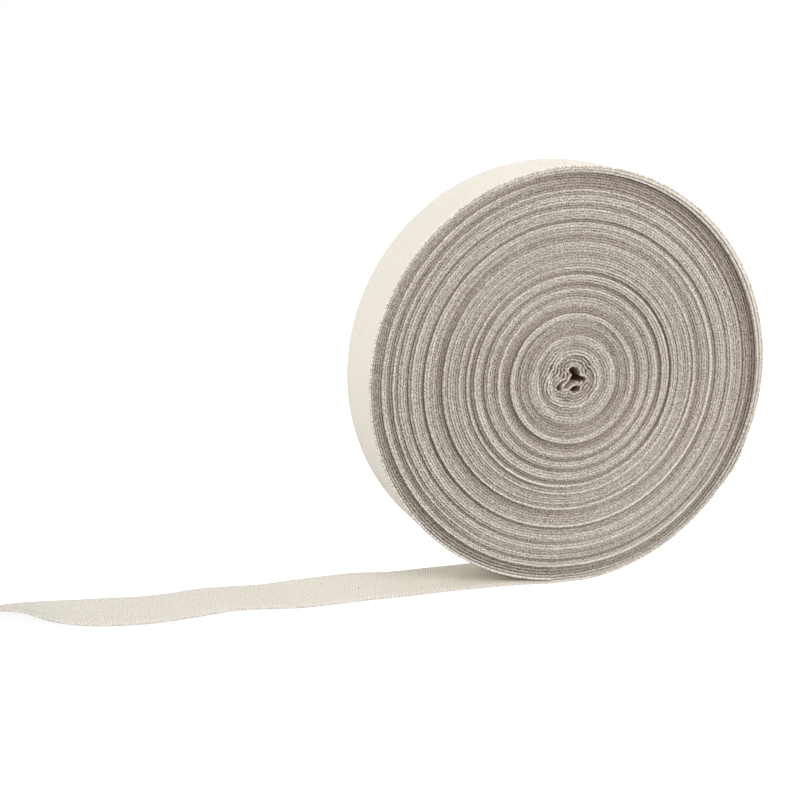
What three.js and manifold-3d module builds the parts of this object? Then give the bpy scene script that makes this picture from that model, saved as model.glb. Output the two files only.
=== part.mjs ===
// A flat roll of cotton herringbone tape, wound on itself without a core, with a loose end.
// Millimetres, +Z up. The roll's axis runs along Y, and its front face looks towards -Y.
// The origin lies on the floor, at the middle of the flat spot that the roll rests on.
import * as THREE from 'three';
import { mergeVertices } from 'three/addons/utils/BufferGeometryUtils.js';
import Module from 'manifold-3d';

const wasm = await Module();
wasm.setup();

// Driving dimensions
const TAPE_WIDTH = 30;
const TAPE_THICKNESS = 1;
const ROLL_RADIUS = 80;
const FLAT_SPOT_HALF_WIDTH = 7;
const PIECE_GAP = 0.3;
const ROUND_STEPS = 80;

// The last turn lies on the one before it, so the roll is smaller where the last turn has left.
const INNER_TURN_RADIUS = ROLL_RADIUS - TAPE_THICKNESS - PIECE_GAP;
const AXIS_HEIGHT = Math.sqrt(ROLL_RADIUS ** 2 - FLAT_SPOT_HALF_WIDTH ** 2);
const LEAVING_ANGLE = -Math.PI / 2 - Math.asin(FLAT_SPOT_HALF_WIDTH / ROLL_RADIUS);

// Groups of turns that slipped sideways together while the tape was wound.
// radius: outer radius of the group; forward: how far it stands out towards the front.
const TURN_GROUPS = [
  { radius: 12, forward: 0.2 },
  { radius: 17, forward: 0.7 },
  { radius: 26, forward: 0.1 },
  { radius: 33, forward: 0.6 },
  { radius: 40, forward: 0.0 },
  { radius: 44, forward: 0.4 },
  { radius: 52, forward: -0.2 },
  { radius: 59, forward: 0.3 },
  { radius: 65, forward: -0.2 },
  { radius: 70, forward: 0.3 },
  { radius: 76, forward: -0.4 },
  { radius: ROLL_RADIUS + 1, forward: 0.8 },
];

// The innermost turns have crumpled into a star. Points are x, z from the roll's axis.
const STAR_HOLE = [
  [3.0, 2.2], [2.8, 1.0], [5.2, -0.9], [3.3, -1.4], [2.9, -2.1], [0.8, -1.5], [-1.1, -1.6],
  [-3.7, -3.2], [-4.3, -2.6], [-1.9, -1.0], [-0.8, 1.6], [-1.9, 3.8], [-0.4, 4.7], [2.1, 3.6],
];
const LOWER_HOLE = [[-1.0, -4.6], [0.0, -3.7], [1.0, -3.4], [2.3, -3.7], [2.9, -4.7], [1.9, -5.8]];
const SIDE_SLOT = [[-7.0, -1.3], [-6.2, -0.7], [-5.5, -2.7], [-3.9, -4.8], [-4.3, -5.2], [-6.4, -2.9]];

// The loose end, from the roll to its cut. x: distance along the floor; middle: where its
// middle line runs in y; near and far: how high its front and back edges are lifted.
const LOOSE_END_ROWS = [
  { x: -FLAT_SPOT_HALF_WIDTH - PIECE_GAP, middle: 0, near: 0, far: 0 },
  { x: -22, middle: 0.6, near: 0.8, far: 0 },
  { x: -47, middle: 0.6, near: 1.2, far: 0 },
  { x: -62, middle: 0.5, near: 1.1, far: 0 },
  { x: -77, middle: 1.2, near: 0.9, far: 0.8 },
  { x: -90, middle: 1.6, near: 0.6, far: 0.6 },
  { x: -103, middle: 1.8, near: 0.4, far: 0.2 },
  { x: -115, middle: 1.5, near: 1.4, far: 0 },
  { x: -128, middle: 2.2, near: 2.1, far: 0.3 },
  { x: -138, middle: 2.6, near: 1.4, far: 0.4 },
  { x: -150, middle: 2.0, near: 0.9, far: 0 },
  { x: -160, middle: 1.9, near: 0.7, far: 0 },
  { x: -171, middle: 3.2, near: 0.7, far: 0.2 },
  { x: -184, middle: 5.2, near: 1.5, far: 0.2 },
  { x: -194, middle: 6.9, near: 3.4, far: 0.2 },
  { x: -203, middle: 8.2, near: 6.8, far: 0.1 },
  { x: -211, middle: 8.0, near: 8.6, far: 0 },
  { x: -219, middle: 7.6, near: 8.8, far: 0 },
];
const STEPS_PER_ROW = 4;
const STEPS_ACROSS = 4;
const CURL = 1.3;

function toSolid(geometry) {
  const bare = geometry.clone();
  bare.deleteAttribute('normal');
  bare.deleteAttribute('uv');
  const merged = mergeVertices(bare, 1e-5);
  const corners = merged.index.array;
  const kept = [];
  for (let i = 0; i < corners.length; i += 3) {
    const [a, b, c] = [corners[i], corners[i + 1], corners[i + 2]];
    if (a !== b && b !== c && c !== a) kept.push(a, b, c);
  }
  return new wasm.Manifold(new wasm.Mesh({
    numProp: 3,
    vertProperties: new Float32Array(merged.attributes.position.array),
    triVerts: new Uint32Array(kept),
  }));
}

function toGeometry(solid) {
  const mesh = solid.getMesh();
  const geometry = new THREE.BufferGeometry();
  geometry.setAttribute('position', new THREE.BufferAttribute(mesh.vertProperties, 3));
  geometry.setIndex(new THREE.BufferAttribute(mesh.triVerts, 1));
  return geometry;
}

// A flat outline in x, z becomes a prism across the roll, longer than the tape is wide.
function prismAcross(shape) {
  const length = 2 * TAPE_WIDTH;
  const prism = new THREE.ExtrudeGeometry(shape, { depth: length, bevelEnabled: false, steps: 1 });
  prism.rotateX(Math.PI / 2);
  prism.translate(0, length / 2, 0);
  return toSolid(prism);
}

function shapeFrom(points) {
  return new THREE.Shape(points.map(([x, z]) => new THREE.Vector2(x, z)));
}

// The turns as coaxial groups, each slipped a little along the axis.
function turnGroupsSolid() {
  const front = [new THREE.Vector2(0, -TAPE_WIDTH / 2 - TURN_GROUPS[0].forward)];
  const back = [new THREE.Vector2(0, TAPE_WIDTH / 2 - TURN_GROUPS[0].forward)];
  let inner = 0;
  for (const { radius, forward } of TURN_GROUPS) {
    if (inner > 0) {
      front.push(new THREE.Vector2(inner, -TAPE_WIDTH / 2 - forward));
      back.push(new THREE.Vector2(inner, TAPE_WIDTH / 2 - forward));
    }
    front.push(new THREE.Vector2(radius, -TAPE_WIDTH / 2 - forward));
    back.push(new THREE.Vector2(radius, TAPE_WIDTH / 2 - forward));
    inner = radius;
  }
  return toSolid(new THREE.LatheGeometry([...front, ...back.reverse()], ROUND_STEPS));
}

// The roll seen from the front: a spiral that grows by one tape thickness, flat underneath.
function rollOutline() {
  const points = [];
  for (let i = 0; i <= ROUND_STEPS; i += 1) {
    const share = i / ROUND_STEPS;
    const angle = LEAVING_ANGLE + 2 * Math.PI * share;
    const radius = THREE.MathUtils.lerp(ROLL_RADIUS, INNER_TURN_RADIUS, share);
    const z = Math.max(radius * Math.sin(angle), -AXIS_HEIGHT);
    points.push([radius * Math.cos(angle), z]);
  }
  return shapeFrom(points);
}

function woundRoll() {
  const solid = turnGroupsSolid()
    .intersect(prismAcross(rollOutline()))
    .subtract(prismAcross(shapeFrom(STAR_HOLE)))
    .subtract(prismAcross(shapeFrom(LOWER_HOLE)))
    .subtract(prismAcross(shapeFrom(SIDE_SLOT)));
  const material = new THREE.MeshStandardMaterial({ color: 0xb4aa9e, roughness: 0.95, metalness: 0 });
  const mesh = new THREE.Mesh(toGeometry(solid), material);
  mesh.name = 'wound_roll';
  mesh.position.set(0, 0, AXIS_HEIGHT);
  return mesh;
}

// One row of points across the loose end, from its front edge to its back edge.
function rowAcross(place, lifts) {
  const near = Math.max(lifts.y, 0);
  const far = Math.max(lifts.z, 0);
  const rise = near - far;
  const span = Math.sqrt(TAPE_WIDTH ** 2 - rise ** 2);
  const row = [];
  for (let i = 0; i <= STEPS_ACROSS; i += 1) {
    const fromFar = 1 - i / STEPS_ACROSS;
    const height = far + rise * fromFar ** CURL;
    const y = place.y + TAPE_WIDTH / 2 - span * fromFar;
    row.push(new THREE.Vector3(place.x, y, height));
  }
  return row;
}

function looseEndRows() {
  const places = LOOSE_END_ROWS.map(({ x, middle }) => new THREE.Vector3(x, middle, 0));
  const lifts = LOOSE_END_ROWS.map(({ x, near, far }) => new THREE.Vector3(x, near, far));
  const placeCurve = new THREE.CatmullRomCurve3(places, false, 'catmullrom', 0.5);
  const liftCurve = new THREE.CatmullRomCurve3(lifts, false, 'catmullrom', 0.5);
  const count = (LOOSE_END_ROWS.length - 1) * STEPS_PER_ROW;
  const rows = [];
  for (let i = 0; i <= count; i += 1) {
    rows.push(rowAcross(placeCurve.getPoint(i / count), liftCurve.getPoint(i / count)));
  }
  return rows;
}

// A closed sheet: the rows below, the same rows one thickness higher, and a rim between them.
function looseEndGeometry() {
  const rows = looseEndRows();
  const across = STEPS_ACROSS + 1;
  const layer = rows.length * across;
  const positions = [];
  for (const lift of [0, TAPE_THICKNESS]) {
    for (const row of rows) {
      for (const point of row) positions.push(point.x, point.y, point.z + lift);
    }
  }
  const index = [];
  const quad = (a, b, c, d) => index.push(a, c, b, a, d, c);
  for (let r = 0; r < rows.length - 1; r += 1) {
    const here = r * across;
    const next = here + across;
    for (let i = 0; i < STEPS_ACROSS; i += 1) {
      quad(here + i, here + i + 1, next + i + 1, next + i);
      quad(layer + here + i, layer + next + i, layer + next + i + 1, layer + here + i + 1);
    }
    quad(here, next, layer + next, layer + here);
    const far = here + STEPS_ACROSS;
    quad(far, layer + far, layer + far + across, far + across);
  }
  const last = layer - across;
  for (let i = 0; i < STEPS_ACROSS; i += 1) {
    quad(i, layer + i, layer + i + 1, i + 1);
    quad(last + i, last + i + 1, layer + last + i + 1, layer + last + i);
  }
  const geometry = new THREE.BufferGeometry();
  geometry.setAttribute('position', new THREE.Float32BufferAttribute(positions, 3));
  geometry.setIndex(index);
  return geometry;
}

function looseEnd() {
  const material = new THREE.MeshStandardMaterial({ color: 0xe2d9ca, roughness: 0.9, metalness: 0 });
  const mesh = new THREE.Mesh(looseEndGeometry(), material);
  mesh.name = 'loose_end';
  return mesh;
}

const roll = new THREE.Group();
roll.name = 'tape_roll';
roll.add(woundRoll(), looseEnd());

export default roll;
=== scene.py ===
"""A flat roll of cotton herringbone tape, wound without a core, with its loose end on the surface.

The roll's axis runs along Y and its front face looks towards -Y. The tape is wound from the
middle outwards, clockwise as seen from the front, and leaves the roll underneath, to the left.
"""
import math

import bmesh
import bpy
import numpy as np
from mathutils import Matrix, Vector


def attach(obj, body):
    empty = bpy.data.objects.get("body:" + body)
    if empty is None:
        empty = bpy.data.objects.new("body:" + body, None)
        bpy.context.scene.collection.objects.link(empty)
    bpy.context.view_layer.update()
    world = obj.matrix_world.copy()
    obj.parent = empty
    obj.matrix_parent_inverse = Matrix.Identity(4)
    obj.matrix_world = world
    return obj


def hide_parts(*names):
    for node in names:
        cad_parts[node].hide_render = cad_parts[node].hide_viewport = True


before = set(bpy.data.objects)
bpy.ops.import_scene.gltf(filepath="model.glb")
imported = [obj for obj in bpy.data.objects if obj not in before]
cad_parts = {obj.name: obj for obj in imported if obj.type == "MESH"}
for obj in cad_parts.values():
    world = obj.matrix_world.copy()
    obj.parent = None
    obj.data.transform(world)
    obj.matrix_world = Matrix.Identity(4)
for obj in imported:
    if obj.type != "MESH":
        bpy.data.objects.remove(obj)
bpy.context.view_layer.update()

bl_info = {
    "name": "Herringbone Tape Roll",
    "version": (1, 0, 0),
    "blender": (4, 5, 0),
    "location": "3D View > Sidebar > Tape Roll",
    "description": "Builds a coreless roll of cotton herringbone tape with a loose end",
    "category": "Add Mesh",
}

MM = 0.001

# The innermost turns have crumpled into a star. Points are x, z from the roll's axis, in mm.
STAR_HOLE = [
    (2.5, 2.7), (2.6, 1.2), (4.7, 0.7), (5.2, 0.2), (4.6, -0.4), (3.1, -0.9), (2.6, -1.7),
    (0.8, -1.4), (-1.0, -2.1), (-3.5, -4.0), (-4.4, -3.1), (-2.0, -0.7), (-0.9, 1.4),
    (-2.1, 3.9), (-0.6, 4.8), (1.6, 4.3),
]
# Over how many degrees the star's corners, and then each turn's, are rounded off.
STAR_SOFTENING_DEG = 1.8
ROW_SOFTENING_DEG = 2.5

# Where a crumpled turn stands off the one inside it. turn: the turn that stands off; angle and
# half_width in degrees, counter-clockwise from the right; height in mm.
STAND_OFFS = [
    {"turn": 1, "angle": -159, "half_width": 18, "height": 1.9},
    {"turn": 1, "angle": -77, "half_width": 27, "height": 2.3},
    {"turn": 3, "angle": 55, "half_width": 16, "height": 0.2},
    {"turn": 6, "angle": 152, "half_width": 12, "height": 0.45},
]
STAND_OFF_BLUNTNESS = 0.7
# Each crumpled turn is rounder than the one before by this share of what it lacks to a circle.
CRUMPLED_TURNS = 18
ROUNDING_PER_TURN = 0.12
# Where the tape changes from each crumpled turn to the next, in degrees, and over what share of it.
SEAM_ANGLE = -14
SEAM_SHARE = 0.16
# Over how many round turns the seam eases into an even spiral.
EASING_TURNS = 24
ANGLE_SAMPLES = 360
# A point counts for the directions this many samples away: one, and a little for rounding.
SAMPLE_REACH = 1.01
# How far a cut may lie past a side's end, and how small a number counts as none.
CUT_TOLERANCE = 1e-9
NEARLY_NONE = 1e-12

# The turns' radius, and how far they have slipped towards the front there, both in mm.
FACE_PROFILE = [
    (5.0, 0.0), (8.0, -0.1), (10.5, 0.2), (13.0, -0.25), (15.5, 0.3), (18.3, -0.2), (20.6, 0.1),
    (22.1, -0.2), (24.2, 0.3), (26.6, -0.4), (29.7, 0.4), (31.5, -0.3), (33.3, 0.3), (36.0, -0.4),
    (37.2, 0.3), (38.6, 0.4), (40.0, -0.4), (41.7, 0.3), (43.3, -0.3), (44.7, 0.3), (46.0, -0.1),
    (48.7, 0.1), (49.5, -0.2), (50.4, 0.3), (51.8, -0.3), (53.5, -0.2), (54.6, 0.2), (56.2, -0.1),
    (57.5, 0.4), (59.0, -0.4), (60.2, 0.2), (62.6, 0.2), (64.7, -0.3), (65.6, 0.2), (68.1, 0.1),
    (68.9, -0.2), (69.9, 0.3), (71.3, -0.3), (73.3, 0.4), (74.8, -0.4), (77.2, -0.2), (78.6, 0.2),
    (80.0, 0.3),
]

# How far the wound turns lie off the rim's centre, to the right and up, in mm, in full from the
# radius given. The last ones ease back: they press on that side and are slack on the other.
TURNS_OFF_CENTRE = (-0.5, 0.35)
OFF_CENTRE_RADIUS = 55
SLACK_TURNS = 4
# Where the last turns are slack: they part there, and the turns inside are pressed together, by
# this many millimetres in all, over this many degrees on both sides. The press begins at a radius,
# is full within so many millimetres of it, and ends over the last turns.
SLACK_ANGLES = [40, -120]
SLACK_HALF_WIDTH = 50
SLACK_PRESS = 0.5
PRESSED_FROM = 50
PRESSED_WITHIN = 25
PRESSED_TURNS = 3.5
# At the upper right the last turns stand proud of a sunken band; elsewhere they step back into a
# round shoulder. from_rim: turns before the rim; proud and shoulder: how far forward, in mm.
RIM_TURNS = [
    {"from_rim": 0.4, "proud": 0.2, "shoulder": -0.8},
    {"from_rim": 1.4, "proud": 1.1, "shoulder": -0.4},
    {"from_rim": 2.4, "proud": 0.6, "shoulder": -0.15},
    {"from_rim": 3.4, "proud": -0.8, "shoulder": 0.0},
    {"from_rim": 6.6, "proud": -0.8, "shoulder": 0.0},
    {"from_rim": 7.6, "proud": 0.0, "shoulder": 0.0},
]
PROUD_TURNS = 7.6
PROUD_ANGLE = 38
PROUD_HALF_WIDTH = 85
# Groups of turns stand out most in this direction and the opposite one.
STRONG_ANGLE = 20
STRONG_SHARE = 0.16
# How much of the face's slope each turn's edge follows, how much edges roll by themselves, and
# over how many turns the tape comes level where it leaves the roll.
LEAN_SHARE = 0.3
EDGE_ROLL = 0.15
END_SETTLES = 0.08
# Single turns slip by slow and by sharper waves, so many a turn, and their edges roll by others.
# Random values are drawn for more turns than the roll has.
SLOW_SLIPS = 1.3
SHARP_SLIPS = 9.0
SHARP_SHARE = 0.6
EDGE_ROLLS = 2.3
NOISE_TURNS = 100
# A bulge of the outermost turn, angles in degrees and height in mm. It fades out turns inwards.
BULGE_ANGLE = -29
BULGE_HALF_WIDTH = 9
BULGE_HEIGHT = 0.8
BULGE_TURNS = 1.5
# The flat spot flattens the turns from this share of the radius on, in full a share further out.
SQUASHED_FROM = 0.7
SQUASHED_WITHIN = 0.3
NEARLY_LEVEL = 1e-6

# The loose end, from the roll to its cut, in mm. x: distance along the floor; middle: where its
# middle line runs in y; near and far: how high its front and back edges are lifted.
LOOSE_END_ROWS = [
    {"x": -7.0, "middle": 0.0, "near": 0.0, "far": 0.0},
    {"x": -22, "middle": 0.6, "near": 0.8, "far": 0.0},
    {"x": -47, "middle": 0.6, "near": 1.2, "far": 0.0},
    {"x": -62, "middle": 0.5, "near": 1.1, "far": 0.0},
    {"x": -77, "middle": 1.2, "near": 0.9, "far": 0.8},
    {"x": -90, "middle": 1.6, "near": 0.6, "far": 0.6},
    {"x": -103, "middle": 1.8, "near": 0.4, "far": 0.2},
    {"x": -115, "middle": 1.5, "near": 1.4, "far": 0.0},
    {"x": -128, "middle": 2.2, "near": 2.1, "far": 0.3},
    {"x": -138, "middle": 2.6, "near": 1.4, "far": 0.4},
    {"x": -150, "middle": 2.0, "near": 0.9, "far": 0.0},
    {"x": -160, "middle": 1.9, "near": 0.7, "far": 0.0},
    {"x": -171, "middle": 3.2, "near": 0.7, "far": 0.2},
    {"x": -184, "middle": 5.2, "near": 1.5, "far": 0.2},
    {"x": -194, "middle": 6.9, "near": 3.4, "far": 0.2},
    {"x": -203, "middle": 8.2, "near": 6.8, "far": 0.1},
    {"x": -211, "middle": 8.0, "near": 8.6, "far": 0.0},
    {"x": -219, "middle": 7.6, "near": 8.8, "far": 0.0},
]
CURL = 1.3
LOOSE_STEPS_PER_ROW = 16
LOOSE_STEPS_ACROSS = 13
# The loose end's edges: their thickness as a share of the tape's, and how far in they are thin.
LOOSE_EDGE_SHARE = 0.5
EDGE_TAPER = 1.5 * MM
# The round of the tape's edges, seen along the tape.
EDGE_ROUND_DEG = (60, 20, -20, -60)

# The wound tape's stretches. start, end: turns from the middle, or before the rim if negative;
# steps: points a turn; thickness in mm; selvedge: the edges' rounding as a share of it.
STRETCHES = [
    {"name": "crumpled_turns", "start": 0, "end": 24, "steps": 200, "thickness": 0.98, "selvedge": 0.2},
    {"name": "inner_turns", "start": 24, "end": 42, "steps": 280, "thickness": 0.95, "selvedge": 0.3},
    {"name": "middle_turns", "start": 42, "end": 58, "steps": 320, "thickness": 0.95, "selvedge": 0.3},
    {"name": "outer_turns", "start": 58, "end": -4, "steps": 360, "thickness": 0.94, "selvedge": 0.3},
    {"name": "slack_turns", "start": -4, "end": -1, "steps": 420, "thickness": 0.9, "selvedge": 0.32},
]
SELVEDGE_STEPS = 2
LAST_TURN_STEPS = 420
LAST_TURN_STEPS_ACROSS = 9
# The last turn lies flat where it is this near its lowest point, and this near the flat spot.
FLAT_NEARNESS = 0.1 * MM
FLAT_REACH = 1.05
FUZZ_PER_METRE = 700.0
FUZZ_DETAIL = 2

FINISHES = ("cotton selvedges", "cotton herringbone", "loose herringbone")

# The cloth. Grain: how often loops, and then streaks, repeat in a metre each way, and their detail.
GRAIN_LAYERS = (((1800, 2200, 1800), 2), ((350, 2400, 350), 1))
GRAIN_ROUGHNESS = 0.65
GRAIN_CONTRAST = 2.4
GRAIN_HEIGHT_SHARE = 0.35
WOBBLES_PER_METRE = 600
YARN_DEPTH = 0.45
# Flecks: the share of cells without one, and a fleck's size as a share of a cell.
FLECK_RARITY = 0.72
FLECK_SIZE = 0.03
# The relief in mm over which sunken loops in painted shade turn greige, and over which greige ones turn
# to cream as painted light.
SHADED_RELIEF = (-0.85, 0.6)
LIT_RELIEF = (0.4, 1.2)
EDGE_REACH = 0.35 * MM
LOOP_BUMP = 0.3 * MM
WEAVE_BUMP = 0.25 * MM
BUMP_STRENGTH = 0.8
# How much of the cloth's look is the weave, on the rim and on the loose end.
RIM_RIBS = 0.42
LOOSE_RIBS = 0.75
MATT_ROUGHNESS = 0.95
MATT_SPECULAR = 0.2
# A Mix node's sockets for its factor and its two colours, and its colour result. Their names repeat.
MIX_INPUTS = (0, 6, 7)
MIX_RESULT = 2
WHITE = (1, 1, 1, 1)

# The studio. Lamps: name, place in metres, size in metres, power in watts. Glow: how bright the
# floor looks by itself near the roll, and further away.
SKY_LIGHT = 0.42
LAMP_TARGET = (-0.03, 0, 0.07)
LAMPS = [
    ("key", (0.45, -0.93, 0.58), 0.55, 12),
    ("rim", (-1.3, -0.05, 0.62), 0.7, 11.6),
    ("top", (-0.1, 0.1, 1.6), 1.0, 2.5),
    ("back", (0.3, 1.2, 0.5), 0.6, 6),
]
FLOOR_NEAR = 0.3
FLOOR_FAR = 1.0
FLOOR_GLOW = (0.92, 1.0)
FLOOR_TONE = 0.42
FLOOR_REACH = 4.0
SENSOR_WIDTH = 36
CLIP_START = 0.01


def length(name, description, default):
    return bpy.props.FloatProperty(name=name, description=description, default=default, unit="LENGTH")


def colour(name, description, default):
    return bpy.props.FloatVectorProperty(
        name=name, description=description, subtype="COLOR", size=3, default=default)


class TapeSizes(bpy.types.PropertyGroup):
    """The tape's and the roll's sizes."""

    width: length("Tape width", "Width of the tape", 30 * MM)
    pitch: length("Turn pitch", "From one turn to the next", 1.0 * MM)
    thickness: length("Tape thickness", "Thickness of the pressed tape in the roll", 0.96 * MM)
    radius: length("Roll radius", "Outer radius of the roll", 80 * MM)
    flat_half: length("Flat spot", "Half the length of the flat spot that the roll rests on", 7 * MM)
    slip_jitter: length("Slip jitter", "How far single turns stand proud of their neighbours", 0.17 * MM)
    fuzz: length("Fuzz", "How unevenly the selvedges lie", 0.13 * MM)
    relief: bpy.props.FloatProperty(
        name="Relief", description="How strongly groups of turns stand out or lie back", default=1.4)
    seed: bpy.props.IntProperty(name="Seed", description="Seed of the random slips", default=7)


class TapeColours(bpy.types.PropertyGroup):
    """The cotton's colours, with painted shade and light for the roll's face and its hollows."""

    # cream is also painted light on turns that stand proud of the face.
    cream: colour("Cream", "The flat of the tape", (0.885, 0.835, 0.755))
    cream_shade: colour("Cream shade", "Between the ribs of the flat", (0.72, 0.67, 0.59))
    loose: colour("Loose end", "The flat of the loose end", (0.885, 0.84, 0.752))
    loose_shade: colour("Loose end shade", "Between the ribs of the loose end", (0.40, 0.375, 0.325))
    greige: colour("Greige", "The selvedges, seen as the roll's faces", (0.845, 0.778, 0.71))
    shade: colour("Shade", "Between the loops of the selvedges", (0.355, 0.313, 0.266))
    # Painted shade: dull and groove darken the loops of sunken turns; dull also gives the loose end's
    # edges their darker loops.
    dull: colour("Dull", "The loops of sunken turns", (0.46, 0.395, 0.33))
    groove_shade: colour("Groove", "Between the loops of sunken turns", (0.18, 0.145, 0.115))
    # Painted shade: deep between the turns and inside the hole, where little light reaches.
    hollow_shade: colour("Hollow", "Deep between the turns", (0.42, 0.275, 0.175))
    seed_coat: colour("Seed coat", "The flecks of seed coat in the cotton", (0.06, 0.04, 0.025))


class StageSettings(bpy.types.PropertyGroup):
    """The camera and the light."""

    azimuth: bpy.props.FloatProperty(
        name="Azimuth", description="The camera's direction from the roll's front",
        default=math.radians(-17.32), subtype="ANGLE")
    elevation: bpy.props.FloatProperty(
        name="Elevation", description="The camera's height above the horizon",
        default=math.radians(13.28), subtype="ANGLE")
    distance: length("Distance", "From the camera to its target", 591.6 * MM)
    target: bpy.props.FloatVectorProperty(
        name="Target", description="The point in the middle of the picture", subtype="TRANSLATION",
        size=3, default=(-63.05 * MM, 0, 72.9 * MM))
    lens: bpy.props.FloatProperty(
        name="Lens", description="Focal length in millimetres", default=71.71)


def axis_height(sizes):
    """The roll's axis above the floor, in metres: a little under its radius, for the flat spot."""
    return math.sqrt(sizes.radius ** 2 - sizes.flat_half ** 2)


def leaving_angle(sizes):
    return -math.pi / 2 - math.asin(sizes.flat_half / sizes.radius)


# The winding


def polar_outline(points, angles):
    """How far the outline lies from the origin in each direction."""
    corners = np.array(points, float)
    radii = np.zeros(len(angles))
    for here, after in zip(corners, np.roll(corners, -1, 0)):
        edge = after - here
        for i, angle in enumerate(angles):
            way = np.array((math.cos(angle), math.sin(angle)))
            det = way[0] * -edge[1] + way[1] * edge[0]
            if abs(det) < NEARLY_NONE:
                continue
            reach = (here[0] * -edge[1] + here[1] * edge[0]) / det
            share = (way[0] * here[1] - way[1] * here[0]) / det
            if -CUT_TOLERANCE <= share <= 1 + CUT_TOLERANCE and reach > radii[i]:
                radii[i] = reach
    return radii


def smooth_step(share):
    """Eases a share between 0 and 1 so that it starts and ends level."""
    return share * share * (3 - 2 * share)


def smooth_round(values, degrees):
    """Smooths values that go once round the roll."""
    count = len(values)
    reach = np.arange(count)
    reach = np.minimum(reach, count - reach) * 360 / count
    kernel = np.exp(-0.5 * (reach / degrees) ** 2)
    kernel /= kernel.sum()
    return np.real(np.fft.ifft(np.fft.fft(values) * np.fft.fft(kernel)))


def grown(radii, angles, step):
    """The outline a step further out, about the same distance from this one all round."""
    points = np.stack((radii * np.cos(angles), radii * np.sin(angles)), 1)
    along = np.roll(points, -1, 0) - np.roll(points, 1, 0)
    along /= np.linalg.norm(along, axis=1)[:, None]
    outer = points + step * np.stack((along[:, 1], -along[:, 0]), 1)
    turned = np.arctan2(outer[:, 1], outer[:, 0])
    reach = np.hypot(outer[:, 0], outer[:, 1])
    width = 2 * math.pi / len(angles)
    result = radii + step
    for shift in (-1, 0, 1):
        slot = (np.round((turned - angles[0]) / width).astype(int) + shift) % len(angles)
        gap = np.abs((turned - angles[slot] + math.pi) % (2 * math.pi) - math.pi)
        near = np.where(gap < SAMPLE_REACH * width, reach, 0)
        np.maximum.at(result, slot, near)
    return result


def degrees_from(angles, centre):
    """How far each angle is from the centre, in degrees, between 0 and 180."""
    return np.degrees(np.abs((angles - math.radians(centre) + math.pi) % (2 * math.pi) - math.pi))


def nearness(angles, centre, half_width):
    """1 at the centre, falling to 0 half_width degrees away from it on both sides."""
    return np.clip(1 - (degrees_from(angles, centre) / half_width) ** 2, 0, 1)


def crumpled_rows(sizes, angles):
    """The middle line of each crumpled turn, and of the first round one after them, in mm. At two
    places beside the star the first turns lie closer together than the tape is thick."""
    pitch = sizes.pitch / MM
    half = sizes.thickness / MM / 2
    row = smooth_round(polar_outline(STAR_HOLE, angles), STAR_SOFTENING_DEG)
    rows = [grown(row, angles, half)] * 2
    for turn in range(1, CRUMPLED_TURNS + 1):
        row = smooth_round(grown(row, angles, pitch), ROW_SOFTENING_DEG)
        row = row + ROUNDING_PER_TURN * (row.max() - row)
        for off in STAND_OFFS:
            if off["turn"] == turn:
                near = nearness(angles, off["angle"], off["half_width"])
                row = row + off["height"] * near ** STAND_OFF_BLUNTNESS
        rows.append(grown(row, angles, half))
    rows.append(np.full(len(angles), row.max() + pitch + half))
    return rows


def seam_step(share):
    """Crumpled turns keep to their row, and change to the next one within a short seam."""
    return smooth_step(np.clip((share - 0.5) / SEAM_SHARE + 0.5, 0, 1))


class Winding:
    """The tape's middle line. Turns are counted from the middle of the roll outwards."""

    def __init__(self, sizes):
        self.sizes = sizes
        self.angles = np.linspace(-math.pi, math.pi, ANGLE_SAMPLES, endpoint=False)
        self.rows = crumpled_rows(sizes, self.angles)
        self.round_from = len(self.rows) - 1
        rim = (sizes.radius - sizes.thickness / 2) / MM
        wanted = self.round_from + (rim - self.rows[-1][0]) / (sizes.pitch / MM)
        seam = (math.radians(SEAM_ANGLE) - leaving_angle(sizes)) / (2 * math.pi) + 0.5
        self.total = round(wanted - seam) + seam
        self.round_pitch = (rim - self.rows[-1][0]) / (self.total - self.round_from)
        self.start = 0.5 + SEAM_SHARE / 4

    def angle(self, turn):
        return leaving_angle(self.sizes) + 2 * math.pi * (self.total - turn)

    def radius(self, turn, angle):
        place = (angle + math.pi) % (2 * math.pi) - math.pi
        closed = np.append(self.angles, math.pi)
        share = turn - np.floor(turn)
        even = np.clip((turn - self.round_from) / EASING_TURNS, 0, 1)
        eased = np.floor(turn) + share * even + seam_step(share) * (1 - even)
        radius = self.rows[-1][0] + (eased - self.round_from) * self.round_pitch
        for k in range(self.round_from):
            here = (turn >= k) & (turn < k + 1)
            low = np.interp(place[here], closed, np.append(self.rows[k], self.rows[k][0]))
            high = np.interp(place[here], closed, np.append(self.rows[k + 1], self.rows[k + 1][0]))
            radius[here] = low + seam_step(turn[here] - k) * (high - low)
        return radius


def slow_noise(turns, seed, per_turn):
    """A random value that drifts smoothly along the tape, about -1 to 1."""
    rng = np.random.default_rng(seed)
    knots = rng.normal(0, 1, int(NOISE_TURNS * per_turn))
    place = turns * per_turn
    low = np.floor(place).astype(int)
    share = smooth_step(place - low)
    return knots[low] * (1 - share) + knots[low + 1] * share


def column(table, name):
    return [row[name] for row in table]


def between_rows(places, table):
    """The table's value at each place, level at its rows and steepest half-way between them."""
    rows, values = np.array(table).T
    slot = np.clip(np.searchsorted(rows, places) - 1, 0, len(rows) - 2)
    share = np.clip((places - rows[slot]) / (rows[slot + 1] - rows[slot]), 0, 1)
    return values[slot] + smooth_step(share) * (values[slot + 1] - values[slot])


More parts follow.
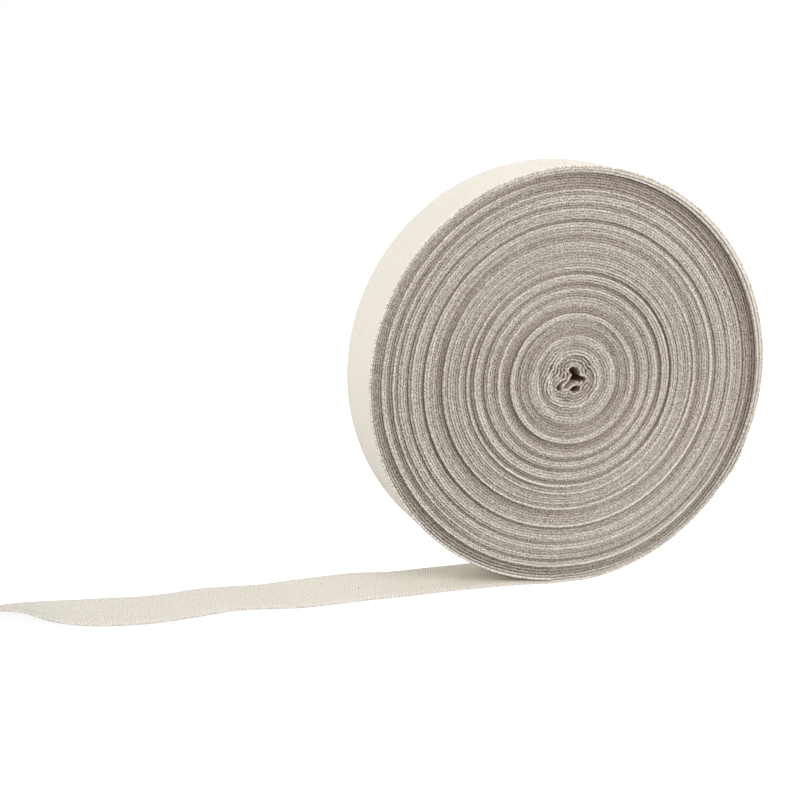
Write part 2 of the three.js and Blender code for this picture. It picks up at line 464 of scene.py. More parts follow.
def face_height(radii, angles, from_rim, sizes):
    """How far the face stands forward, and how far its rim steps back there, both in mm."""
    strong = 1 + STRONG_SHARE * np.cos(2 * (angles - math.radians(STRONG_ANGLE)))
    height = between_rows(radii, FACE_PROFILE)
    height = height * strong * sizes.relief
    proud = nearness(angles, PROUD_ANGLE, PROUD_HALF_WIDTH)
    height = height * (1 - proud * np.clip(PROUD_TURNS - from_rim, 0, 1))
    counted = column(RIM_TURNS, "from_rim")
    height = height + proud * np.interp(from_rim, counted, column(RIM_TURNS, "proud"))
    back = (1 - proud) * np.interp(from_rim, counted, column(RIM_TURNS, "shoulder"))
    return height, back


def slips(turns, radii, angles, from_rim, sizes):
    """How far each point of the tape has slipped towards the front, in mm, how its edge leans, and
    how far it lies forward of the round shoulder's own shape."""
    jitter = sizes.slip_jitter / MM
    half = sizes.pitch / MM / 2
    height, back = face_height(radii, angles, from_rim, sizes)
    outside = face_height(radii + half, angles, from_rim - 0.5, sizes)
    inside = face_height(radii - half, angles, from_rim + 0.5, sizes)
    lean = (LEAN_SHARE * (outside[0] - inside[0]) + outside[1] - inside[1]) / (2 * half)
    height = height + jitter * slow_noise(turns, sizes.seed, SLOW_SLIPS)
    height = height + SHARP_SHARE * jitter * slow_noise(turns, sizes.seed + 1, SHARP_SLIPS)
    lean = lean + EDGE_ROLL * slow_noise(turns, sizes.seed + 2, EDGE_ROLLS)
    slip = (height + back) * np.clip(from_rim / END_SETTLES, 0, 1)
    return slip, lean, height


def winding_points(sizes, start, end, steps_per_turn):
    """Points of the tape's middle line from turn start to turn end: x, z, slip, all in metres,
    the lean of its edges, as a slope, and their relief in mm."""
    path = Winding(sizes)
    start = max(start, path.start)
    turns = np.linspace(start, end, int(round((end - start) * steps_per_turn)) + 1)
    angles = path.angle(turns)
    radii = path.radius(turns, angles)
    from_rim = path.total - turns
    slip, lean, relief = slips(turns, radii, angles, from_rim, sizes)

    off_centre = np.clip(radii / OFF_CENTRE_RADIUS, 0, 1) * np.clip(from_rim / SLACK_TURNS, 0, 1)
    shift_x, shift_z = TURNS_OFF_CENTRE
    radii = radii + off_centre * (shift_x * np.cos(angles) + shift_z * np.sin(angles))
    pressed = np.clip((radii - PRESSED_FROM) / PRESSED_WITHIN, 0, 1)
    pressed = pressed * np.clip(from_rim / PRESSED_TURNS, 0, 1)
    for centre in SLACK_ANGLES:
        radii = radii - SLACK_PRESS * nearness(angles, centre, SLACK_HALF_WIDTH) * pressed
    bulge = nearness(angles, BULGE_ANGLE, BULGE_HALF_WIDTH) ** 2
    radii = radii + BULGE_HEIGHT * bulge * np.clip(BULGE_TURNS - from_rim, 0, 1)

    down = np.maximum(-np.sin(angles), NEARLY_LEVEL)
    height = axis_height(sizes) / MM
    rim = sizes.radius / MM
    squash = np.clip(rim - height / down, 0, None)
    near_rim = np.clip((radii / rim - SQUASHED_FROM) / SQUASHED_WITHIN, 0, 1)
    radii = radii - squash * near_rim ** 2
    place = np.stack((radii * np.cos(angles), radii * np.sin(angles), slip), 1) * MM
    return np.column_stack((place, lean, relief))


# Geometry nodes


def new_tree(name, inputs):
    """A node tree that takes and gives a geometry, and takes the named inputs after it."""
    tree = bpy.data.node_groups.new(name, "GeometryNodeTree")
    tree.interface.new_socket("Geometry", in_out="INPUT", socket_type="NodeSocketGeometry")
    for label, kind in inputs:
        tree.interface.new_socket(label, in_out="INPUT", socket_type=kind)
    tree.interface.new_socket("Geometry", in_out="OUTPUT", socket_type="NodeSocketGeometry")
    return tree


def set_input(modifier, label, value):
    for item in modifier.node_group.interface.items_tree:
        if item.item_type == "SOCKET" and item.in_out == "INPUT" and item.name == label:
            modifier[item.identifier] = value
            return
    raise KeyError(label)


def maths(nodes, links, operation, first, second=None, third=None):
    """A Math node fed by sockets or numbers; gives its output socket."""
    node = nodes.new("ShaderNodeMath")
    node.operation = operation
    for slot, value in enumerate((first, second, third)):
        if value is None:
            continue
        if isinstance(value, (int, float)):
            node.inputs[slot].default_value = value
        else:
            links.new(value, node.inputs[slot])
    return node.outputs[0]


def place_and_reach(nodes, links):
    """The parts of each point's place, and how far it lies from the winding's middle."""
    place = nodes.new("GeometryNodeInputPosition")
    parts = nodes.new("ShaderNodeSeparateXYZ")
    links.new(place.outputs["Position"], parts.inputs["Vector"])
    squares = maths(nodes, links, "MULTIPLY", parts.outputs["Y"], parts.outputs["Y"])
    squares = maths(nodes, links, "MULTIPLY_ADD", parts.outputs["X"], parts.outputs["X"], squares)
    return parts, maths(nodes, links, "SQRT", squares)


def combined(nodes, links, **parts):
    """A vector from its parts X, Y and Z, where one left out is 0; gives its output socket."""
    node = nodes.new("ShaderNodeCombineXYZ")
    for name, value in parts.items():
        links.new(value, node.inputs[name])
    return node.outputs["Vector"]


def own_value(nodes, name):
    """The value that the geometry holds under the name."""
    node = nodes.new("GeometryNodeInputNamedAttribute")
    node.inputs["Name"].default_value = name
    return node.outputs["Attribute"]


def stored(nodes, links, geometry, name, value, kind="FLOAT", domain="POINT"):
    """Stores the value on the geometry under the name; gives the geometry's socket."""
    node = nodes.new("GeometryNodeStoreNamedAttribute")
    node.data_type = kind
    node.domain = domain
    node.inputs["Name"].default_value = name
    links.new(geometry, node.inputs["Geometry"])
    links.new(value, node.inputs["Value"])
    return node.outputs["Geometry"]


def moved(nodes, links, geometry, offset):
    """Moves the geometry's points by the offset; gives the geometry's socket."""
    node = nodes.new("GeometryNodeSetPosition")
    links.new(geometry, node.inputs["Geometry"])
    links.new(offset, node.inputs["Offset"])
    return node.outputs["Geometry"]


def tape_along_winding_tree():
    """Sweeps the tape's rounded section along a flat winding, then stands the roll on its rim."""
    tree = new_tree("Tape along winding", [
        ("Tape Width", "NodeSocketFloat"), ("Tape Thickness", "NodeSocketFloat"),
        ("Selvedge Radius", "NodeSocketFloat"), ("Fuzz", "NodeSocketFloat"),
        ("Fuzz Size", "NodeSocketFloat"), ("Lift", "NodeSocketFloat"),
        ("Material", "NodeSocketMaterial")])
    nodes, links = tree.nodes, tree.links
    given = nodes.new("NodeGroupInput")
    result = nodes.new("NodeGroupOutput")

    section = nodes.new("GeometryNodeCurvePrimitiveQuadrilateral")
    links.new(given.outputs["Tape Thickness"], section.inputs["Width"])
    links.new(given.outputs["Tape Width"], section.inputs["Height"])
    rounded = nodes.new("GeometryNodeFilletCurve")
    rounded.mode = "POLY"
    rounded.inputs["Count"].default_value = SELVEDGE_STEPS
    links.new(section.outputs["Curve"], rounded.inputs["Curve"])
    links.new(given.outputs["Selvedge Radius"], rounded.inputs["Radius"])
    section_place = nodes.new("GeometryNodeInputPosition")
    section_kept = nodes.new("GeometryNodeCaptureAttribute")
    section_kept.capture_items.new("VECTOR", "Section")
    links.new(rounded.outputs["Curve"], section_kept.inputs["Geometry"])
    links.new(section_place.outputs["Position"], section_kept.inputs["Section"])

    line = nodes.new("GeometryNodeMeshToCurve")
    links.new(given.outputs["Geometry"], line.inputs["Mesh"])
    line_length = nodes.new("GeometryNodeSplineParameter")
    _parts, line_reach = place_and_reach(nodes, links)
    line_kept = nodes.new("GeometryNodeCaptureAttribute")
    line_kept.capture_items.new("FLOAT", "Along")
    line_kept.capture_items.new("FLOAT", "Reach")
    links.new(line.outputs["Curve"], line_kept.inputs["Geometry"])
    links.new(line_length.outputs["Length"], line_kept.inputs["Along"])
    links.new(line_reach, line_kept.inputs["Reach"])

    normal = nodes.new("GeometryNodeSetCurveNormal")
    normal.mode = "Z_UP"
    links.new(line_kept.outputs["Geometry"], normal.inputs["Curve"])

    sweep = nodes.new("GeometryNodeCurveToMesh")
    sweep.inputs["Fill Caps"].default_value = True
    links.new(normal.outputs["Curve"], sweep.inputs["Curve"])
    links.new(section_kept.outputs["Geometry"], sweep.inputs["Profile Curve"])

    parts = nodes.new("ShaderNodeSeparateXYZ")
    links.new(section_kept.outputs["Section"], parts.inputs["Vector"])
    along = line_kept.outputs["Along"]
    across = parts.outputs["Y"]
    uv = combined(nodes, links, X=along, Y=across)
    cloth = stored(nodes, links, sweep.outputs["Mesh"], "tape_uv", uv, "FLOAT2", "CORNER")

    place_parts, reach = place_and_reach(nodes, links)
    through = maths(nodes, links, "SUBTRACT", reach, line_kept.outputs["Reach"])
    leaned = maths(nodes, links, "MULTIPLY", own_value(nodes, "lean"), through)
    relief = maths(nodes, links, "MULTIPLY_ADD", leaned, 1 / MM, own_value(nodes, "relief_mm"))
    side = maths(nodes, links, "SIGN", place_parts.outputs["Z"])
    relief = maths(nodes, links, "MULTIPLY", relief, side)
    cloth = stored(nodes, links, cloth, "relief_mm", relief)
    in_tape = combined(nodes, links, X=along, Y=through, Z=across)
    cloth = stored(nodes, links, cloth, "tape_place", in_tape, "FLOAT_VECTOR")
    cloth = moved(nodes, links, cloth, combined(nodes, links, Z=leaned))

    noise = nodes.new("ShaderNodeTexNoise")
    links.new(given.outputs["Fuzz Size"], noise.inputs["Scale"])
    noise.inputs["Detail"].default_value = FUZZ_DETAIL
    centred = nodes.new("ShaderNodeVectorMath")
    centred.operation = "SUBTRACT"
    centred.inputs[1].default_value = (0.5, 0.5, 0.5)
    links.new(noise.outputs["Color"], centred.inputs[0])
    sized = nodes.new("ShaderNodeVectorMath")
    sized.operation = "SCALE"
    links.new(centred.outputs["Vector"], sized.inputs["Vector"])
    links.new(given.outputs["Fuzz"], sized.inputs["Scale"])
    cloth = moved(nodes, links, cloth, sized.outputs["Vector"])

    stand = nodes.new("GeometryNodeTransform")
    stand.inputs["Rotation"].default_value = (math.pi / 2, 0, 0)
    links.new(combined(nodes, links, Z=given.outputs["Lift"]), stand.inputs["Translation"])
    links.new(cloth, stand.inputs["Geometry"])

    smooth = nodes.new("GeometryNodeSetShadeSmooth")
    links.new(stand.outputs["Geometry"], smooth.inputs["Geometry"])
    real = nodes.new("GeometryNodeRealizeInstances")
    links.new(smooth.outputs["Geometry"], real.inputs["Geometry"])
    painted = nodes.new("GeometryNodeSetMaterial")
    links.new(real.outputs["Geometry"], painted.inputs["Geometry"])
    links.new(given.outputs["Material"], painted.inputs["Material"])
    links.new(painted.outputs["Geometry"], result.inputs["Geometry"])
    return tree


def link(item):
    bpy.context.scene.collection.objects.link(item)
    return item


def line_object(points):
    """A line of edges through the points, with the lean and relief of the tape's edges on each."""
    line = bpy.data.meshes.new("winding_line")
    line.from_pydata(points[:, :3].tolist(), [(i, i + 1) for i in range(len(points) - 1)], [])
    for name, values in (("lean", points[:, 3]), ("relief_mm", points[:, 4])):
        layer = line.attributes.new(name, "FLOAT", "POINT")
        layer.data.foreach_set("value", values.astype(np.float32))
    return link(bpy.data.objects.new("winding_line", line))


def swept_tape(stretch, points, sizes, tree, material):
    """A stretch of the wound tape as a plain mesh."""
    name = stretch["name"]
    line = line_object(points)
    modifier = line.modifiers.new("tape", "NODES")
    modifier.node_group = tree
    set_input(modifier, "Tape Width", sizes.width)
    set_input(modifier, "Tape Thickness", stretch["thickness"] * MM)
    set_input(modifier, "Selvedge Radius", stretch["selvedge"] * stretch["thickness"] * MM)
    set_input(modifier, "Fuzz", sizes.fuzz)
    set_input(modifier, "Fuzz Size", FUZZ_PER_METRE)
    set_input(modifier, "Lift", axis_height(sizes))
    set_input(modifier, "Material", material)
    bpy.context.view_layer.update()
    evaluated = line.evaluated_get(bpy.context.evaluated_depsgraph_get())
    mesh = bpy.data.meshes.new_from_object(evaluated)
    mesh.name = name
    bpy.data.objects.remove(line)
    return link(bpy.data.objects.new(name, mesh))


# Materials


def shader_group(name, inputs, outputs):
    group = bpy.data.node_groups.new(name, "ShaderNodeTree")
    for label, kind, value in inputs:
        socket = group.interface.new_socket(label, in_out="INPUT", socket_type=kind)
        if value is not None:
            socket.default_value = value
    for label, kind in outputs:
        group.interface.new_socket(label, in_out="OUTPUT", socket_type=kind)
    return group, group.nodes.new("NodeGroupInput"), group.nodes.new("NodeGroupOutput")


def mixed(nodes, links, factor, first, second):
    """A Mix node for colours, fed by sockets or colours; gives its output socket."""
    node = nodes.new("ShaderNodeMix")
    node.data_type = "RGBA"
    for slot, value in zip(MIX_INPUTS, (factor, first, second)):
        if isinstance(value, tuple):
            node.inputs[slot].default_value = value
        else:
            links.new(value, node.inputs[slot])
    return node.outputs[MIX_RESULT]


def clamped(nodes, links, value):
    """The value kept between 0 and 1; gives its output socket."""
    node = nodes.new("ShaderNodeClamp")
    links.new(value, node.inputs["Value"])
    return node.outputs["Result"]


def smooth_range(nodes, links, value, start, end, low=0.0, high=1.0):
    """A smooth step from low to high while the value goes from start to end; gives its socket."""
    node = nodes.new("ShaderNodeMapRange")
    node.interpolation_type = "SMOOTHSTEP"
    for name, number in (("From Min", start), ("From Max", end), ("To Min", low), ("To Max", high)):
        node.inputs[name].default_value = number
    links.new(value, node.inputs["Value"])
    return node.outputs["Result"]


def cotton_grain_group():
    """Yarn loops and fibres: a height and a tone between 0 and 1."""
    group, given, result = shader_group("Cotton grain", [
        ("Vector", "NodeSocketVector", None), ("Loops", "NodeSocketFloat", 3.2),
        ("Streaks", "NodeSocketFloat", 0.6)],
        [("Height", "NodeSocketFloat"), ("Tone", "NodeSocketFloat")])
    nodes, links = group.nodes, group.links
    layers = []
    for stretch, detail in GRAIN_LAYERS:
        scaled = nodes.new("ShaderNodeVectorMath")
        scaled.operation = "MULTIPLY"
        scaled.inputs[1].default_value = stretch
        links.new(given.outputs["Vector"], scaled.inputs[0])
        noise = nodes.new("ShaderNodeTexNoise")
        noise.inputs["Scale"].default_value = 1
        noise.inputs["Detail"].default_value = detail
        noise.inputs["Roughness"].default_value = GRAIN_ROUGHNESS
        links.new(scaled.outputs["Vector"], noise.inputs["Vector"])
        layers.append(maths(nodes, links, "SUBTRACT", noise.outputs["Fac"], 0.5))
    loops = maths(nodes, links, "MULTIPLY", layers[0], given.outputs["Loops"])
    both = maths(nodes, links, "MULTIPLY_ADD", layers[1], given.outputs["Streaks"], loops)
    links.new(maths(nodes, links, "ADD", both, 0.5), result.inputs["Height"])
    tone = maths(nodes, links, "MULTIPLY_ADD", both, GRAIN_CONTRAST, 0.5)
    links.new(clamped(nodes, links, tone), result.inputs["Tone"])
    return group


def depth_group():
    """How deep between the turns a point lies, from 0 at a selvedge to 1 inside."""
    group, given, result = shader_group("Depth from the selvedge", [
        ("UV", "NodeSocketVector", None), ("Half Width", "NodeSocketFloat", 15 * MM),
        ("Reach", "NodeSocketFloat", 6 * MM)],
        [("Depth", "NodeSocketFloat")])
    nodes, links = group.nodes, group.links
    parts = nodes.new("ShaderNodeSeparateXYZ")
    links.new(given.outputs["UV"], parts.inputs["Vector"])
    across = maths(nodes, links, "ABSOLUTE", parts.outputs["Y"])
    inward = maths(nodes, links, "SUBTRACT", given.outputs["Half Width"], across)
    share = maths(nodes, links, "DIVIDE", inward, given.outputs["Reach"])
    links.new(clamped(nodes, links, share), result.inputs["Depth"])
    return group


def herringbone_group():
    """A herringbone twill. X runs along the tape and Y across it, in metres."""
    group, given, result = shader_group("Herringbone weave", [
        ("Vector", "NodeSocketVector", None), ("Rib", "NodeSocketFloat", 1.0 * MM),
        ("Slant", "NodeSocketFloat", 0.36), ("Column", "NodeSocketFloat", 6.4 * MM),
        ("Yarn", "NodeSocketFloat", 1.9 * MM), ("Wobble", "NodeSocketFloat", 0.5 * MM)],
        [("Height", "NodeSocketFloat"), ("Tone", "NodeSocketFloat")])
    nodes, links = group.nodes, group.links
    parts = nodes.new("ShaderNodeSeparateXYZ")
    links.new(given.outputs["Vector"], parts.inputs["Vector"])
    zigzag = maths(nodes, links, "PINGPONG", parts.outputs["Y"], given.outputs["Column"])
    slanted = maths(nodes, links, "MULTIPLY_ADD", zigzag, given.outputs["Slant"], parts.outputs["X"])
    uneven = nodes.new("ShaderNodeTexNoise")
    uneven.inputs["Scale"].default_value = WOBBLES_PER_METRE
    links.new(given.outputs["Vector"], uneven.inputs["Vector"])
    wobble = maths(nodes, links, "SUBTRACT", uneven.outputs["Fac"], 0.5)
    slanted = maths(nodes, links, "MULTIPLY_ADD", wobble, given.outputs["Wobble"], slanted)
    phase = maths(nodes, links, "DIVIDE", slanted, given.outputs["Rib"])
    rib = maths(nodes, links, "SINE", maths(nodes, links, "MULTIPLY", phase, 2 * math.pi))
    yarn_phase = maths(nodes, links, "DIVIDE", parts.outputs["Y"], given.outputs["Yarn"])
    yarn = maths(nodes, links, "SINE", maths(nodes, links, "MULTIPLY", yarn_phase, 2 * math.pi))
    yarn = maths(nodes, links, "MULTIPLY_ADD", yarn, YARN_DEPTH, 1 - YARN_DEPTH)
    wave = maths(nodes, links, "MULTIPLY_ADD", maths(nodes, links, "MULTIPLY", rib, yarn), 0.5, 0.5)
    links.new(wave, result.inputs["Height"])
    links.new(wave, result.inputs["Tone"])
    return group


def seed_fleck_group():
    """A mask of rare small flecks."""
    group, given, result = shader_group("Seed flecks", [
        ("Vector", "NodeSocketVector", None), ("Spacing", "NodeSocketFloat", 90.0)],
        [("Mask", "NodeSocketFloat")])
    nodes, links = group.nodes, group.links
    cells = nodes.new("ShaderNodeTexVoronoi")
    links.new(given.outputs["Vector"], cells.inputs["Vector"])
    links.new(given.outputs["Spacing"], cells.inputs["Scale"])
    rare = nodes.new("ShaderNodeSeparateColor")
    links.new(cells.outputs["Color"], rare.inputs["Color"])
    chosen = maths(nodes, links, "GREATER_THAN", rare.outputs["Red"], FLECK_RARITY)
    near = maths(nodes, links, "LESS_THAN", cells.outputs["Distance"], FLECK_SIZE)
    mask = maths(nodes, links, "MULTIPLY", chosen, near)
    links.new(mask, result.inputs["Mask"])
    return group


def placed(nodes, links, group, vector, socket="Vector"):
    """A shader group's node in a material, fed with the vector."""
    node = nodes.new("ShaderNodeGroup")
    node.node_tree = group
    links.new(vector, node.inputs[socket])
    return node


def attribute(nodes, name):
    node = nodes.new("ShaderNodeAttribute")
    node.attribute_name = name
    return node


def tape_uv(nodes):
    """The place on the tape, along it and across it, in metres."""
    node = nodes.new("ShaderNodeUVMap")
    node.uv_map = "tape_uv"
    return node.outputs["UV"]


def bumped(nodes, links, shader, height, distance):
    """Raises the height on the shader's surface, by up to the distance."""
    node = nodes.new("ShaderNodeBump")
    node.inputs["Distance"].default_value = distance
    node.inputs["Strength"].default_value = BUMP_STRENGTH
    links.new(height, node.inputs["Height"])
    links.new(node.outputs["Normal"], shader.inputs["Normal"])


def new_material(name):
    material = bpy.data.materials.new(name)
    material.use_nodes = True
    nodes, links = material.node_tree.nodes, material.node_tree.links
    shader = next(n for n in nodes if n.type == "BSDF_PRINCIPLED")
    shader.inputs["Roughness"].default_value = MATT_ROUGHNESS
    shader.inputs["Specular IOR Level"].default_value = MATT_SPECULAR
    return material, nodes, links, shader


def colour4(value):
    return (value[0], value[1], value[2], 1.0)


def flecked(nodes, links, groups, tone, fleck):
    """The tone with flecks of seed coat scattered over it; gives its output socket."""
    place = nodes.new("ShaderNodeTexCoord")
    flecks = placed(nodes, links, groups["flecks"], place.outputs["Object"])
    return mixed(nodes, links, flecks.outputs["Mask"], tone, colour4(fleck))


def selvedge_material(colours, groups):
    """The wound tape: grainy loops of weft at its edges, and painted shade deep between the turns and in
    the hole.
    """
    material, nodes, links, shader = new_material("cotton selvedges")
    grain = placed(nodes, links, groups["grain"], attribute(nodes, "tape_place").outputs["Vector"])
    depth = placed(nodes, links, groups["depth"], tape_uv(nodes), "UV")
    relief = attribute(nodes, "relief_mm").outputs["Fac"]
    # Painted shade on sunken turns, and painted light in cream on proud ones, by their relief.
    unshaded = smooth_range(nodes, links, relief, *SHADED_RELIEF)
    low = mixed(nodes, links, unshaded, colour4(colours.groove_shade), colour4(colours.shade))
    high = mixed(nodes, links, unshaded, colour4(colours.dull), colour4(colours.greige))
    proud = smooth_range(nodes, links, relief, *LIT_RELIEF)
    low = mixed(nodes, links, proud, low, colour4(colours.cream_shade))
    high = mixed(nodes, links, proud, high, colour4(colours.cream))
    tone = mixed(nodes, links, grain.outputs["Tone"], low, high)
    tone = flecked(nodes, links, groups, tone, colours.seed_coat)
    # Painted shade, growing away from the selvedge: between the turns and inside the hole.
    tone = mixed(nodes, links, depth.outputs["Depth"], tone, colour4(colours.hollow_shade))
    links.new(tone, shader.inputs["Base Color"])
    bumped(nodes, links, shader, grain.outputs["Height"], LOOP_BUMP)
    return material


def herringbone_material(name, groups, flat, edges, ribs, fleck):
    """The flat of the tape, with its selvedges along both sides. flat and edges: the dark and the
    light colour of each; ribs: the share of the weave in the cloth's look, the rest is grain."""
    material, nodes, links, shader = new_material(name)
    uv = tape_uv(nodes)
    weave = placed(nodes, links, groups["weave"], uv)
    grain = placed(nodes, links, groups["grain"], uv)
    edge = placed(nodes, links, groups["depth"], uv, "UV")
    edge.inputs["Reach"].default_value = EDGE_REACH
    fine = maths(nodes, links, "MULTIPLY", grain.outputs["Tone"], 1 - ribs)
    light = maths(nodes, links, "MULTIPLY_ADD", weave.outputs["Tone"], ribs, fine)
    tone = mixed(nodes, links, light, colour4(flat[0]), colour4(flat[1]))
    rough = mixed(nodes, links, grain.outputs["Tone"], colour4(edges[0]), colour4(edges[1]))
    tone = mixed(nodes, links, edge.outputs["Depth"], rough, tone)
    tone = flecked(nodes, links, groups, tone, fleck)
    links.new(tone, shader.inputs["Base Color"])
    fine = maths(nodes, links, "MULTIPLY", grain.outputs["Height"], GRAIN_HEIGHT_SHARE)
    height = maths(nodes, links, "MULTIPLY_ADD", weave.outputs["Height"], ribs, fine)
    bumped(nodes, links, shader, height, WEAVE_BUMP)
    return material


def materials():
    """The finishes, made once."""
    colours = bpy.context.scene.tape_colours
    if "cotton selvedges" not in bpy.data.materials:
        groups = {"grain": cotton_grain_group(), "weave": herringbone_group(),
                  "flecks": seed_fleck_group(), "depth": depth_group()}
        selvedge_material(colours, groups)
        flat = (colours.cream_shade, colours.cream)
        rough = (colours.shade, colours.greige)
        herringbone_material("cotton herringbone", groups, flat, rough, RIM_RIBS, colours.seed_coat)
        loose = (colours.loose_shade, colours.loose)
        rough = (colours.dull, colours.greige)
        herringbone_material("loose herringbone", groups, loose, rough, LOOSE_RIBS, colours.seed_coat)
    return [bpy.data.materials[name] for name in FINISHES]


# Strips of tape made as meshes


def lengths_along(line):
    """How far along the line each of its points lies."""
    return np.concatenate(([0], np.cumsum(np.linalg.norm(np.diff(line, axis=0), axis=1))))


def strip_mesh(name, rows, along, across):
    """A closed strip from rows of section points. along and across give each point's UV in metres."""
    rows = np.asarray(rows)
    count, ring = rows.shape[:2]
    verts = rows.reshape(-1, 3)
    faces = []
    for r in range(count - 1):
        for i in range(ring):
            j = (i + 1) % ring
            faces.append((r * ring + i, r * ring + j, (r + 1) * ring + j, (r + 1) * ring + i))
    faces.append(tuple(range(ring - 1, -1, -1)))
    faces.append(tuple((count - 1) * ring + i for i in range(ring)))
    mesh = bpy.data.meshes.new(name)
    mesh.from_pydata(verts.tolist(), [], faces)
    layer = mesh.uv_layers.new(name="tape_uv")
    corner = np.zeros(len(mesh.loops), np.int32)
    mesh.loops.foreach_get("vertex_index", corner)
    place = np.stack((np.repeat(along, ring), np.tile(across, count)), 1)
    layer.data.foreach_set("uv", place[corner].astype(np.float32).ravel())
    mesh.polygons.foreach_set("use_smooth", [True] * len(mesh.polygons))
    mesh.update()
    return link(bpy.data.objects.new(name, mesh))


def make_normals_outward(item):
    mesh = item.data
    work = bmesh.new()
    work.from_mesh(mesh)
    bmesh.ops.recalc_face_normals(work, faces=work.faces)
    work.to_mesh(mesh)
    work.free()


def section_points(width, thickness, across_steps, edge_share=1.0):
    """The tape's section as a ring: across in metres, and height from 0 to thickness. edge_share:
    how thick the tape is at its edges, as a share of its thickness."""
    edge = edge_share * thickness / 2
    half = width / 2 - edge
    inner = np.linspace(-half, half, across_steps)
    inner = half * np.sin(inner / half * math.pi / 2)
    thin = (1 - edge_share) * np.clip(1 - (half - np.abs(inner)) / EDGE_TAPER, 0, 1) ** 2
    top = list(zip(inner, thickness * (1 - thin)))
    bottom = [(y, 0.0) for y in inner[::-1]]
    turn = np.radians(EDGE_ROUND_DEG)
    far = [(half + edge * math.cos(a), edge + edge * math.sin(a)) for a in turn]
    near = [(-half - edge * math.cos(a), edge - edge * math.sin(a)) for a in turn]
    return np.array(top + far + bottom + near)


def rows_between(table, per_row):
    """The table's rows with smooth rows between them, as an array of its columns."""
    values = np.array([[row["x"], row["middle"], row["near"], row["far"]] for row in table])
    padded = np.vstack((2 * values[0] - values[1], values, 2 * values[-1] - values[-2]))
    found = []
    for i in range(1, len(padded) - 2):
        a, b, c, d = padded[i - 1:i + 3]
        for step in range(per_row):
            t = step / per_row
            found.append(0.5 * (2 * b + (c - a) * t + (2 * a - 5 * b + 4 * c - d) * t ** 2
                                + (3 * b - a - 3 * c + d) * t ** 3))
    found.append(padded[-2])
    return np.array(found)


def from_middle(turn, total):
    """A turn counted from the middle; a negative one is given as turns before the rim."""
    return turn + total if turn < 0 else turn


class TAPE_OT_wound_turns(bpy.types.Operator):
    """Build the wound turns of the roll"""

    bl_idname = "tape.wound_turns"
    bl_label = "Wound turns"

    def execute(self, context):
        sizes = context.scene.tape_sizes
        edges, _flat, _loose = materials()
        tree = tape_along_winding_tree()
        total = Winding(sizes).total
        for stretch in STRETCHES:
            start = from_middle(stretch["start"], total)
            end = from_middle(stretch["end"], total)
            points = winding_points(sizes, start, end, stretch["steps"])
            piece = swept_tape(stretch, points, sizes, tree, edges)
            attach(piece, "root")
            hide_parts("wound_roll")
        return {"FINISHED"}


class TAPE_OT_last_turn(bpy.types.Operator):
    """Build the last turn, whose flat shows as the roll's rim"""

    bl_idname = "tape.last_turn"
    bl_label = "Last turn"

    def execute(self, context):
        sizes = context.scene.tape_sizes
        _edges, flat, _loose = materials()
        total = Winding(sizes).total
        line = winding_points(sizes, total - 1, total, LAST_TURN_STEPS)[:, :3]
        section = section_points(sizes.width, sizes.thickness, LAST_TURN_STEPS_ACROSS)
        along = lengths_along(line)
        lowest = line[:, 1].min()
        rows = []
        for x, z, slip in line:
            on_floor = z < lowest + FLAT_NEARNESS and abs(x) < FLAT_REACH * sizes.flat_half
            out = np.array((0, -1)) if on_floor else np.array((x, z)) / math.hypot(x, z)
            row = [(x + out[0] * (h - sizes.thickness / 2), y - slip,
                    z + out[1] * (h - sizes.thickness / 2) + axis_height(sizes)) for y, h in section]
            rows.append(row)
        piece = strip_mesh("last_turn", rows, along, section[:, 0])
        make_normals_outward(piece)
        piece.data.materials.append(flat)
        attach(piece, "root")
        return {"FINISHED"}


class TAPE_OT_loose_end(bpy.types.Operator):
    """Build the loose end that lies on the surface"""

    bl_idname = "tape.loose_end"
    bl_label = "Loose end"

    def execute(self, context):
        sizes = context.scene.tape_sizes
        _edges, _flat, loose = materials()
        table = rows_between(LOOSE_END_ROWS, LOOSE_STEPS_PER_ROW)
        section = section_points(
            sizes.width, sizes.thickness, LOOSE_STEPS_ACROSS, LOOSE_EDGE_SHARE)
        rows = []
        width = sizes.width / MM
        for x, middle, near, far in table:
            near, far = max(near, 0), max(far, 0)
            rise = near - far
            span = math.sqrt(width ** 2 - rise ** 2)
            row = []
            for y, h in section / MM:
                from_far = min(max(0.5 - y / width, 0), 1)
                row.append((x * MM, (middle + width / 2 - span * from_far) * MM,
                            (far + rise * from_far ** CURL + h) * MM))
            rows.append(row)
        along = lengths_along(np.array(rows).mean(1))
        piece = strip_mesh("loose_end_cloth", rows, -along, section[:, 0])
        make_normals_outward(piece)
        piece.data.materials.append(loose)
        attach(piece, "root")
        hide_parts("loose_end")
        return {"FINISHED"}


def floor_material():
    """A pale floor that turns white away from the roll, without lighting it."""
    material, nodes, links, shader = new_material("pale floor")
    shader.inputs["Base Color"].default_value = colour4((FLOOR_TONE,) * 3)
    shader.inputs["Emission Color"].default_value = WHITE
    place = nodes.new("ShaderNodeTexCoord")
    away = nodes.new("ShaderNodeVectorMath")
    away.operation = "LENGTH"
    links.new(place.outputs["Object"], away.inputs[0])
    glow = smooth_range(nodes, links, away.outputs["Value"], FLOOR_NEAR, FLOOR_FAR, *FLOOR_GLOW)
    seen = nodes.new("ShaderNodeLightPath")
    strength = maths(nodes, links, "MULTIPLY", glow, seen.outputs["Is Camera Ray"])
    links.new(strength, shader.inputs["Emission Strength"])
    return material


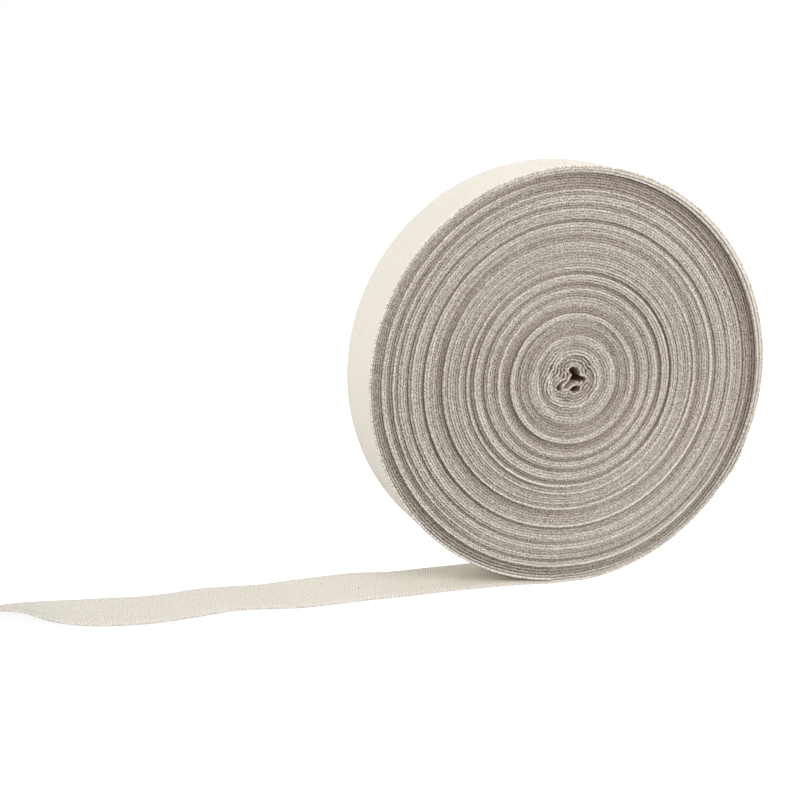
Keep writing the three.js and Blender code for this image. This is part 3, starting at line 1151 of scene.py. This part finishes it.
def soft_sky():
    """A white room: plain white to look at, and dimmer as a light."""
    world = bpy.data.worlds.new("studio")
    bpy.context.scene.world = world
    world.use_nodes = True
    nodes, links = world.node_tree.nodes, world.node_tree.links
    seen = nodes.new("ShaderNodeLightPath")
    strength = nodes.new("ShaderNodeMapRange")
    strength.inputs["To Min"].default_value = SKY_LIGHT
    strength.inputs["To Max"].default_value = 1.0
    links.new(seen.outputs["Is Camera Ray"], strength.inputs["Value"])
    background = nodes["Background"]
    background.inputs["Color"].default_value = WHITE
    links.new(strength.outputs["Result"], background.inputs["Strength"])


class TAPE_OT_stage(bpy.types.Operator):
    """Set the floor, the camera and the soft light"""

    bl_idname = "tape.stage"
    bl_label = "Stage"

    def execute(self, context):
        stage = context.scene.tape_stage
        floor = bpy.data.meshes.new("floor")
        reach = FLOOR_REACH
        corners = [(-reach, -reach, 0), (reach, -reach, 0), (reach, reach, 0), (-reach, reach, 0)]
        floor.from_pydata(corners, [], [(0, 1, 2, 3)])
        floor = link(bpy.data.objects.new("floor", floor))
        floor.data.materials.append(floor_material())

        a, e = stage.azimuth, stage.elevation
        back = Vector((math.sin(a) * math.cos(e), -math.cos(a) * math.cos(e), math.sin(e)))
        right = Vector((math.cos(a), math.sin(a), 0))
        up = back.cross(right)
        camera = bpy.data.cameras.new("camera")
        camera.lens = stage.lens
        camera.sensor_width = SENSOR_WIDTH
        camera.clip_start = CLIP_START
        eye = link(bpy.data.objects.new("camera", camera))
        turn = Matrix((right, up, back)).transposed().to_4x4()
        eye.matrix_world = Matrix.Translation(Vector(stage.target) + back * stage.distance) @ turn
        context.scene.camera = eye

        soft_sky()
        for name, place, size, power in LAMPS:
            light = bpy.data.lights.new(name, "AREA")
            light.size = size
            light.energy = power
            lamp = link(bpy.data.objects.new(name, light))
            lamp.location = place
            aim = Vector(LAMP_TARGET) - Vector(place)
            lamp.rotation_euler = aim.to_track_quat("-Z", "Y").to_euler()
        context.scene.view_settings.view_transform = "Standard"
        return {"FINISHED"}


class TAPE_PT_panel(bpy.types.Panel):
    """Lists the roll's pieces"""

    bl_label = "Tape Roll"
    bl_idname = "TAPE_PT_panel"
    bl_space_type = "VIEW_3D"
    bl_region_type = "UI"
    bl_category = "Tape Roll"

    def draw(self, context):
        for operator in PIECES:
            self.layout.operator(operator.bl_idname)


PIECES = (TAPE_OT_stage, TAPE_OT_wound_turns, TAPE_OT_last_turn, TAPE_OT_loose_end)
SETTINGS = (("tape_sizes", TapeSizes), ("tape_colours", TapeColours), ("tape_stage", StageSettings))


def register():
    for _name, group in SETTINGS:
        bpy.utils.register_class(group)
    for name, group in SETTINGS:
        setattr(bpy.types.Scene, name, bpy.props.PointerProperty(type=group))
    for item in PIECES + (TAPE_PT_panel,):
        bpy.utils.register_class(item)


def unregister():
    for item in reversed(PIECES + (TAPE_PT_panel,)):
        bpy.utils.unregister_class(item)
    for name, group in reversed(SETTINGS):
        delattr(bpy.types.Scene, name)
        bpy.utils.unregister_class(group)


def main():
    register()
    for operator in PIECES:
        group, action = operator.bl_idname.split(".")
        getattr(getattr(bpy.ops, group), action)()


if __name__ == "__main__":
    main()
